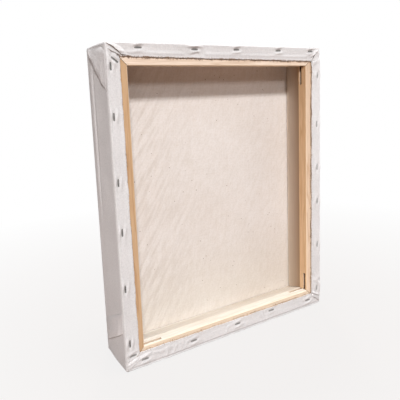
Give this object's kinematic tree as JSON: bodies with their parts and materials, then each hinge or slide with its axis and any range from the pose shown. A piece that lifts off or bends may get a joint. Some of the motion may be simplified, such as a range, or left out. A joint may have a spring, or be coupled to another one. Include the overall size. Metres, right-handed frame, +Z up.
{
  "type": "stretched canvas",
  "caption": "Upright blank artist's canvas: primed cloth folded over a deep frame of keyed, bevelled stretcher bars and stapled on the back, for painting on an easel or hanging.",
  "frame": {"origin": "centre of the bounding box, on the lower edge that it stands on", "axes": "+Z up along the height, -Y out of the painting face, +Y out of the back, X across the width"},
  "size_m": [0.201, 0.0404, 0.24],
  "materials": {
    "pine": "planed, unfinished",
    "primed_cloth": "white primer outside, raw weave inside",
    "staple_wire": "dull wire"
  },
  "bodies": {
    "root": {"canvas": "primed_cloth", "stretcher_bar_bottom": "pine", "stretcher_bar_right": "pine", "stretcher_bar_top": "pine", "stretcher_bar_left": "pine", "staple_bottom_1": "staple_wire", "staple_bottom_2": "staple_wire", "staple_bottom_3": "staple_wire", "staple_bottom_4": "staple_wire", "staple_bottom_5": "staple_wire", "staple_right_1": "staple_wire", "staple_right_2": "staple_wire", "staple_right_3": "staple_wire", "staple_right_4": "staple_wire", "staple_right_5": "staple_wire", "staple_right_6": "staple_wire", "staple_top_1": "staple_wire", "staple_top_2": "staple_wire", "staple_top_3": "staple_wire", "staple_top_4": "staple_wire", "staple_top_5": "staple_wire", "staple_left_1": "staple_wire", "staple_left_2": "staple_wire", "staple_left_3": "staple_wire", "staple_left_4": "staple_wire", "staple_left_5": "staple_wire", "staple_left_6": "staple_wire", "staple_fold_upper": "staple_wire", "staple_fold_lower": "staple_wire"}
  },
  "joints": []
}
